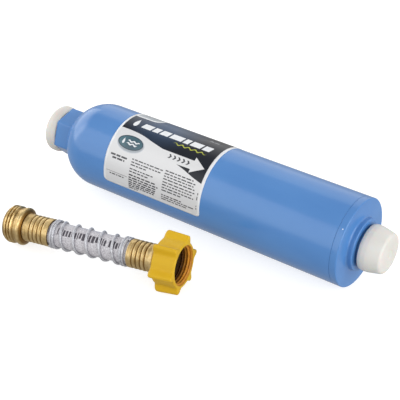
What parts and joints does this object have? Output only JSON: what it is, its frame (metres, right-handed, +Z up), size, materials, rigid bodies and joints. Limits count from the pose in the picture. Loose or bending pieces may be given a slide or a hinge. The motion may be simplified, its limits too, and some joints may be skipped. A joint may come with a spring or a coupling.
{
  "type": "inline water filter",
  "caption": "Blue cylindrical inline water filter for a caravan hose, with a hexagonal inlet socket, a threaded outlet spigot, white closures and a short flexible hose protector beside it.",
  "frame": {"origin": "on the surface the filter lies on, under the middle of the filter with its two closures fitted", "axes": "+X along the filter with the flow, from the hexagonal inlet to the outlet spigot; -Y towards the hose protector; +Z up"},
  "size_m": [0.287, 0.1448, 0.064],
  "materials": {
    "blue_plastic": "satin",
    "label_film": "satin",
    "white_polythene": "satin",
    "black_rubber": "matte",
    "stainless_steel": "satin",
    "natural_plastic": "matte",
    "white_felt": "matte",
    "brass_granules": "matte",
    "carbon_granules": "matte",
    "sintered_polymer": "matte",
    "brass": "satin",
    "grey_vinyl": "satin",
    "guard_steel": "satin",
    "yellow_plastic": "satin"
  },
  "bodies": {
    "filter": {"housing": "blue_plastic", "end_cap": "blue_plastic", "label": "label_film", "inlet_washer": "black_rubber", "inlet_screen": "stainless_steel", "inlet_diffuser": "natural_plastic", "inlet_felt_pad": "white_felt", "kdf_media_bed": "brass_granules", "separator_pad": "white_felt", "carbon_media_bed": "carbon_granules", "sediment_disc": "sintered_polymer", "outlet_felt_pad": "white_felt", "outlet_support_plate": "natural_plastic", "media_spring": "stainless_steel"},
    "outlet_cap": {"outlet_cap": "white_polythene"},
    "inlet_plug": {"inlet_plug": "white_polythene"},
    "hose_male_end": {"male_fitting": "brass", "male_ferrule": "brass", "hose_tube": "grey_vinyl", "spring_guard": "guard_steel"},
    "hose_female_end": {"female_ferrule": "brass", "swivel_stem": "brass"},
    "swivel_nut": {"swivel_nut": "yellow_plastic", "nut_washer": "black_rubber"}
  },
  "joints": [
    {"name": "outlet_cap_pull", "type": "slide", "parent": "filter", "child": "outlet_cap", "axis": [1, 0, 0], "range_m": [0, 0.03]},
    {"name": "inlet_plug_pull", "type": "slide", "parent": "filter", "child": "inlet_plug", "axis": [-1, 0, 0], "range_m": [0, 0.03]},
    {"name": "hose_lift", "type": "slide", "parent": "filter", "child": "hose_male_end", "axis": [0, 0, 1], "range_m": [0, 0.12]},
    {"name": "hose_flex", "type": "hinge", "parent": "hose_male_end", "child": "hose_female_end", "pos_m": [-0.03821, -0.08771, 0.01636], "axis": [0, 0, 1], "range_deg": [-40, 12], "stiffness_Nm_per_rad": 0.7, "deforming": ["hose_tube", "spring_guard"]},
    {"name": "nut_swivel", "type": "hinge", "parent": "hose_female_end", "child": "swivel_nut", "pos_m": [0.02312, -0.07646, 0.01892], "axis": [0.9827, 0.1804, 0.041], "continuous": true}
  ]
}
